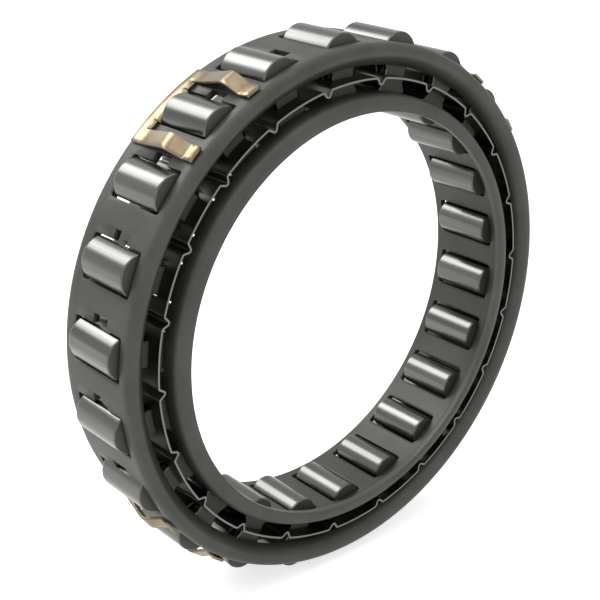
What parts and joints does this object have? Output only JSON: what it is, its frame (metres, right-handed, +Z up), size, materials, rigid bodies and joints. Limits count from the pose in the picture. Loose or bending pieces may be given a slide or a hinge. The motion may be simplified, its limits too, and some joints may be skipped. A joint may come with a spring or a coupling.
{
  "type": "sprag clutch",
  "caption": "Full-phasing sprag clutch: two windowed cages around a ribbon spring, rocking steel sprags between two races, spring clips outside.",
  "frame": {"origin": "centre of the clutch, on the ring's axis and halfway along its width", "axes": "+Z up as the ring stands in the picture, ring axis along Y, the inner cage's flanged front toward -Y"},
  "size_m": [0.0674, 0.0136, 0.0674],
  "materials": {
    "cage_steel": "dark grey phosphated sheet steel, matt",
    "spring_steel": "thin bright spring steel strip",
    "sprag_steel": "ground and hardened steel with fine axial grain",
    "clip_metal": "pale bronze spring strip, satin"
  },
  "bodies": {
    "outer_cage": {"outer_cage": "cage_steel", "drag_clip_1": "clip_metal", "drag_clip_2": "clip_metal", "drag_clip_3": "clip_metal", "drag_clip_4": "clip_metal"},
    "inner_cage": {"inner_cage": "cage_steel"},
    "ribbon_spring": {"ribbon_spring": "spring_steel"},
    "sprag_01": {"sprag_01": "sprag_steel"},
    "sprag_02": {"sprag_02": "sprag_steel"},
    "sprag_03": {"sprag_03": "sprag_steel"},
    "sprag_04": {"sprag_04": "sprag_steel"},
    "sprag_05": {"sprag_05": "sprag_steel"},
    "sprag_06": {"sprag_06": "sprag_steel"},
    "sprag_07": {"sprag_07": "sprag_steel"},
    "sprag_08": {"sprag_08": "sprag_steel"},
    "sprag_09": {"sprag_09": "sprag_steel"},
    "sprag_10": {"sprag_10": "sprag_steel"},
    "sprag_11": {"sprag_11": "sprag_steel"},
    "sprag_12": {"sprag_12": "sprag_steel"},
    "sprag_13": {"sprag_13": "sprag_steel"},
    "sprag_14": {"sprag_14": "sprag_steel"},
    "sprag_15": {"sprag_15": "sprag_steel"},
    "sprag_16": {"sprag_16": "sprag_steel"},
    "sprag_17": {"sprag_17": "sprag_steel"},
    "sprag_18": {"sprag_18": "sprag_steel"},
    "sprag_19": {"sprag_19": "sprag_steel"},
    "sprag_20": {"sprag_20": "sprag_steel"},
    "sprag_21": {"sprag_21": "sprag_steel"},
    "sprag_22": {"sprag_22": "sprag_steel"}
  },
  "joints": [
    {"name": "inner_cage_turn", "type": "hinge", "parent": "outer_cage", "child": "inner_cage", "pos_m": [0, 0, 0], "axis": [0, -1, 0], "range_deg": [-1.3, 0.6], "stiffness_Nm_per_rad": 0.4},
    {"name": "ribbon_spring_turn", "type": "hinge", "parent": "outer_cage", "child": "ribbon_spring", "pos_m": [0, 0, 0], "axis": [0, -1, 0], "range_deg": [-0.76, 0.36]},
    {"name": "sprag_01_tilt", "type": "hinge", "parent": "outer_cage", "child": "sprag_01", "pos_m": [0.03142, 0, 0.00668], "axis": [0, -1, 0], "range_deg": [-2.88, 6.12]},
    {"name": "sprag_02_tilt", "type": "hinge", "parent": "outer_cage", "child": "sprag_02", "pos_m": [0.02827, 0, 0.01526], "axis": [0, -1, 0], "range_deg": [-2.88, 6.12]},
    {"name": "sprag_03_tilt", "type": "hinge", "parent": "outer_cage", "child": "sprag_03", "pos_m": [0.02282, 0, 0.02261], "axis": [0, -1, 0], "range_deg": [-2.88, 6.12]},
    {"name": "sprag_04_tilt", "type": "hinge", "parent": "outer_cage", "child": "sprag_04", "pos_m": [0.01553, 0, 0.02812], "axis": [0, -1, 0], "range_deg": [-2.88, 6.12]},
    {"name": "sprag_05_tilt", "type": "hinge", "parent": "outer_cage", "child": "sprag_05", "pos_m": [0.00698, 0, 0.03136], "axis": [0, -1, 0], "range_deg": [-2.88, 6.12]},
    {"name": "sprag_06_tilt", "type": "hinge", "parent": "outer_cage", "child": "sprag_06", "pos_m": [-0.00214, 0, 0.03205], "axis": [0, -1, 0], "range_deg": [-2.88, 6.12]},
    {"name": "sprag_07_tilt", "type": "hinge", "parent": "outer_cage", "child": "sprag_07", "pos_m": [-0.01108, 0, 0.03015], "axis": [0, -1, 0], "range_deg": [-2.88, 6.12]},
    {"name": "sprag_08_tilt", "type": "hinge", "parent": "outer_cage", "child": "sprag_08", "pos_m": [-0.01913, 0, 0.02581], "axis": [0, -1, 0], "range_deg": [-2.88, 6.12]},
    {"name": "sprag_09_tilt", "type": "hinge", "parent": "outer_cage", "child": "sprag_09", "pos_m": [-0.02563, 0, 0.01937], "axis": [0, -1, 0], "range_deg": [-2.88, 6.12]},
    {"name": "sprag_10_tilt", "type": "hinge", "parent": "outer_cage", "child": "sprag_10", "pos_m": [-0.03005, 0, 0.01137], "axis": [0, -1, 0], "range_deg": [-2.88, 6.12]},
    {"name": "sprag_11_tilt", "type": "hinge", "parent": "outer_cage", "child": "sprag_11", "pos_m": [-0.03203, 0, 0.00244], "axis": [0, -1, 0], "range_deg": [-2.88, 6.12]},
    {"name": "sprag_12_tilt", "type": "hinge", "parent": "outer_cage", "child": "sprag_12", "pos_m": [-0.03142, 0, -0.00668], "axis": [0, -1, 0], "range_deg": [-2.88, 6.12]},
    {"name": "sprag_13_tilt", "type": "hinge", "parent": "outer_cage", "child": "sprag_13", "pos_m": [-0.02827, 0, -0.01526], "axis": [0, -1, 0], "range_deg": [-2.88, 6.12]},
    {"name": "sprag_14_tilt", "type": "hinge", "parent": "outer_cage", "child": "sprag_14", "pos_m": [-0.02282, 0, -0.02261], "axis": [0, -1, 0], "range_deg": [-2.88, 6.12]},
    {"name": "sprag_15_tilt", "type": "hinge", "parent": "outer_cage", "child": "sprag_15", "pos_m": [-0.01553, 0, -0.02812], "axis": [0, -1, 0], "range_deg": [-2.88, 6.12]},
    {"name": "sprag_16_tilt", "type": "hinge", "parent": "outer_cage", "child": "sprag_16", "pos_m": [-0.00698, 0, -0.03136], "axis": [0, -1, 0], "range_deg": [-2.88, 6.12]},
    {"name": "sprag_17_tilt", "type": "hinge", "parent": "outer_cage", "child": "sprag_17", "pos_m": [0.00214, 0, -0.03205], "axis": [0, -1, 0], "range_deg": [-2.88, 6.12]},
    {"name": "sprag_18_tilt", "type": "hinge", "parent": "outer_cage", "child": "sprag_18", "pos_m": [0.01108, 0, -0.03015], "axis": [0, -1, 0], "range_deg": [-2.88, 6.12]},
    {"name": "sprag_19_tilt", "type": "hinge", "parent": "outer_cage", "child": "sprag_19", "pos_m": [0.01913, 0, -0.02581], "axis": [0, -1, 0], "range_deg": [-2.88, 6.12]},
    {"name": "sprag_20_tilt", "type": "hinge", "parent": "outer_cage", "child": "sprag_20", "pos_m": [0.02563, 0, -0.01937], "axis": [0, -1, 0], "range_deg": [-2.88, 6.12]},
    {"name": "sprag_21_tilt", "type": "hinge", "parent": "outer_cage", "child": "sprag_21", "pos_m": [0.03005, 0, -0.01137], "axis": [0, -1, 0], "range_deg": [-2.88, 6.12]},
    {"name": "sprag_22_tilt", "type": "hinge", "parent": "outer_cage", "child": "sprag_22", "pos_m": [0.03203, 0, -0.00244], "axis": [0, -1, 0], "range_deg": [-2.88, 6.12]}
  ],
  "couplings": [
    {"joint": "ribbon_spring_turn", "follows": "inner_cage_turn", "ratio": 0.5708},
    {"joint": "sprag_01_tilt", "follows": "inner_cage_turn", "ratio": -4.631},
    {"joint": "sprag_02_tilt", "follows": "inner_cage_turn", "ratio": -4.631},
    {"joint": "sprag_03_tilt", "follows": "inner_cage_turn", "ratio": -4.631},
    {"joint": "sprag_04_tilt", "follows": "inner_cage_turn", "ratio": -4.631},
    {"joint": "sprag_05_tilt", "follows": "inner_cage_turn", "ratio": -4.631},
    {"joint": "sprag_06_tilt", "follows": "inner_cage_turn", "ratio": -4.631},
    {"joint": "sprag_07_tilt", "follows": "inner_cage_turn", "ratio": -4.631},
    {"joint": "sprag_08_tilt", "follows": "inner_cage_turn", "ratio": -4.631},
    {"joint": "sprag_09_tilt", "follows": "inner_cage_turn", "ratio": -4.631},
    {"joint": "sprag_10_tilt", "follows": "inner_cage_turn", "ratio": -4.631},
    {"joint": "sprag_11_tilt", "follows": "inner_cage_turn", "ratio": -4.631},
    {"joint": "sprag_12_tilt", "follows": "inner_cage_turn", "ratio": -4.631},
    {"joint": "sprag_13_tilt", "follows": "inner_cage_turn", "ratio": -4.631},
    {"joint": "sprag_14_tilt", "follows": "inner_cage_turn", "ratio": -4.631},
    {"joint": "sprag_15_tilt", "follows": "inner_cage_turn", "ratio": -4.631},
    {"joint": "sprag_16_tilt", "follows": "inner_cage_turn", "ratio": -4.631},
    {"joint": "sprag_17_tilt", "follows": "inner_cage_turn", "ratio": -4.631},
    {"joint": "sprag_18_tilt", "follows": "inner_cage_turn", "ratio": -4.631},
    {"joint": "sprag_19_tilt", "follows": "inner_cage_turn", "ratio": -4.631},
    {"joint": "sprag_20_tilt", "follows": "inner_cage_turn", "ratio": -4.631},
    {"joint": "sprag_21_tilt", "follows": "inner_cage_turn", "ratio": -4.631},
    {"joint": "sprag_22_tilt", "follows": "inner_cage_turn", "ratio": -4.631}
  ]
}
